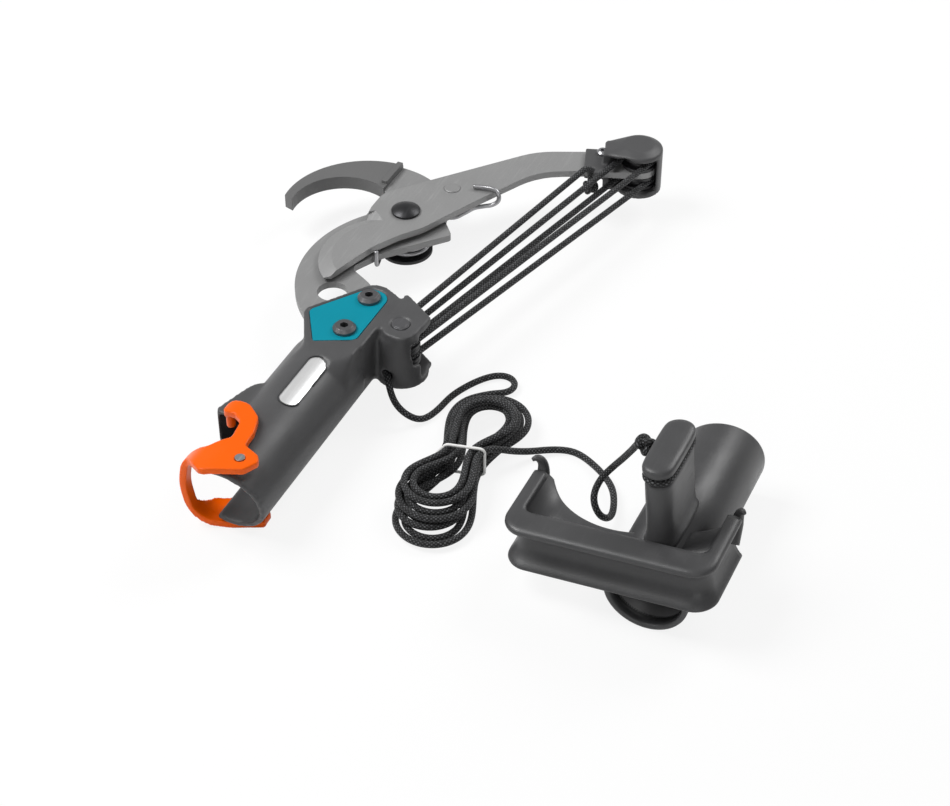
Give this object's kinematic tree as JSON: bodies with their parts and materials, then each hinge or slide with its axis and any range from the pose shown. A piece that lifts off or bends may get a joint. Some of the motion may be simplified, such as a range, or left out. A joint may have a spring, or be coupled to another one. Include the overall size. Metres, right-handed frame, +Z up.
{
  "type": "tree pruner head with rope tackle",
  "caption": "Rope-pulled pruner head with hook plate, pivoting blade and lever, rope tackle between pulley blocks, pole socket with latch, tied rope hank and rope winder",
  "frame": {"origin": "On the pole socket axis, between the leaning mouth and the whole round bore behind the latch window.", "axes": "+Y from the socket mouth to the cutting head, +Z up and square to the blades, +X to the right."},
  "size_m": [0.3409, 0.3723, 0.0886],
  "materials": {
    "dark_plastic": "satin moulded dark grey",
    "winder_plastic": "satin moulded dark grey",
    "badge_metal": "bare satin plate",
    "turquoise_paint": "satin turquoise",
    "coated_steel": "fine mid-grey coating",
    "blade_steel": "fine mid-grey coating with ground edge",
    "shoe_coating": "darker grey coating",
    "black_steel": "blackened",
    "black_plastic": "black moulded",
    "orange_plastic": "orange moulded",
    "white_tie": "white woven band",
    "black_rope": "black braided cord with pale flecks",
    "sheave_plastic": "black moulded",
    "bright_steel": "zinc-plated"
  },
  "bodies": {
    "root": {"socket_body": "dark_plastic", "name_plate": "badge_metal", "cover_plate": "turquoise_paint", "cover_screws": "bright_steel", "cover_nuts": "bright_steel", "hook_plate": "coated_steel", "hook_shoe": "shoe_coating", "pivot_bolt": "black_steel", "pivot_spacer": "bright_steel", "spring_spool": "black_plastic", "pivot_nut": "bright_steel", "return_spring": "bright_steel", "lower_axle": "bright_steel", "axle_clip": "black_steel", "rope_lead": "black_rope", "rope_hank": "black_rope", "hank_tie": "white_tie", "rope_tail": "black_rope", "end_knot": "black_rope", "neck_loop": "black_rope", "latch_pin": "bright_steel", "winder_frame": "winder_plastic", "winder_cap": "winder_plastic"},
    "lever": {"lever_blade": "blade_steel", "lever_rivet": "coated_steel", "block_housing": "dark_plastic", "block_axle": "bright_steel", "block_screw": "bright_steel", "block_nut": "bright_steel", "upper_wraps": "black_rope", "dead_end_knot": "black_rope"},
    "falls": {"rope_falls": "black_rope"},
    "latch": {"latch_lever": "orange_plastic"},
    "lower_sheave_1_body": {"lower_sheave_1": "sheave_plastic"},
    "lower_sheave_2_body": {"lower_sheave_2": "sheave_plastic"},
    "lower_sheave_3_body": {"lower_sheave_3": "sheave_plastic"},
    "upper_sheave_1_body": {"upper_sheave_1": "sheave_plastic"},
    "upper_sheave_2_body": {"upper_sheave_2": "sheave_plastic"}
  },
  "joints": [
    {"name": "blade_pivot", "type": "hinge", "parent": "root", "child": "lever", "pos_m": [-0.0222, 0.2225, 0.0046], "axis": [0, 0, -1], "range_deg": [0, 82], "deforming": ["return_spring", "rope_falls"]},
    {"name": "falls_swing", "type": "hinge", "parent": "root", "child": "falls", "pos_m": [0.0299, 0.1105, 0.0046], "axis": [0, 0, -1], "range_deg": [0, 57]},
    {"name": "latch_hinge", "type": "hinge", "parent": "root", "child": "latch", "pos_m": [0.0079, -0.0208, 0], "axis": [0, 0, 1], "range_deg": [0, 65]},
    {"name": "lower_sheave_1_spin", "type": "hinge", "parent": "root", "child": "lower_sheave_1_body", "pos_m": [0.0299, 0.1105, 0.013], "axis": [0, 0, 1], "continuous": true},
    {"name": "lower_sheave_2_spin", "type": "hinge", "parent": "root", "child": "lower_sheave_2_body", "pos_m": [0.0299, 0.1105, 0.0046], "axis": [0, 0, 1], "continuous": true},
    {"name": "lower_sheave_3_spin", "type": "hinge", "parent": "root", "child": "lower_sheave_3_body", "pos_m": [0.0299, 0.1105, -0.0038], "axis": [0, 0, 1], "continuous": true},
    {"name": "upper_sheave_1_spin", "type": "hinge", "parent": "lever", "child": "upper_sheave_1_body", "pos_m": [0.08193, 0.32341, 0.0109], "axis": [0, 0, 1], "continuous": true},
    {"name": "upper_sheave_2_spin", "type": "hinge", "parent": "lever", "child": "upper_sheave_2_body", "pos_m": [0.08193, 0.32341, -0.0017], "axis": [0, 0, 1], "continuous": true}
  ],
  "couplings": [
    {"joint": "falls_swing", "follows": "blade_pivot", "ratio": 0.684},
    {"joint": "lower_sheave_1_spin", "follows": "blade_pivot", "ratio": 13.1},
    {"joint": "lower_sheave_2_spin", "follows": "blade_pivot", "ratio": 39.2},
    {"joint": "lower_sheave_3_spin", "follows": "blade_pivot", "ratio": 65.4},
    {"joint": "upper_sheave_1_spin", "follows": "blade_pivot", "ratio": 26.2},
    {"joint": "upper_sheave_2_spin", "follows": "blade_pivot", "ratio": 52.3}
  ]
}
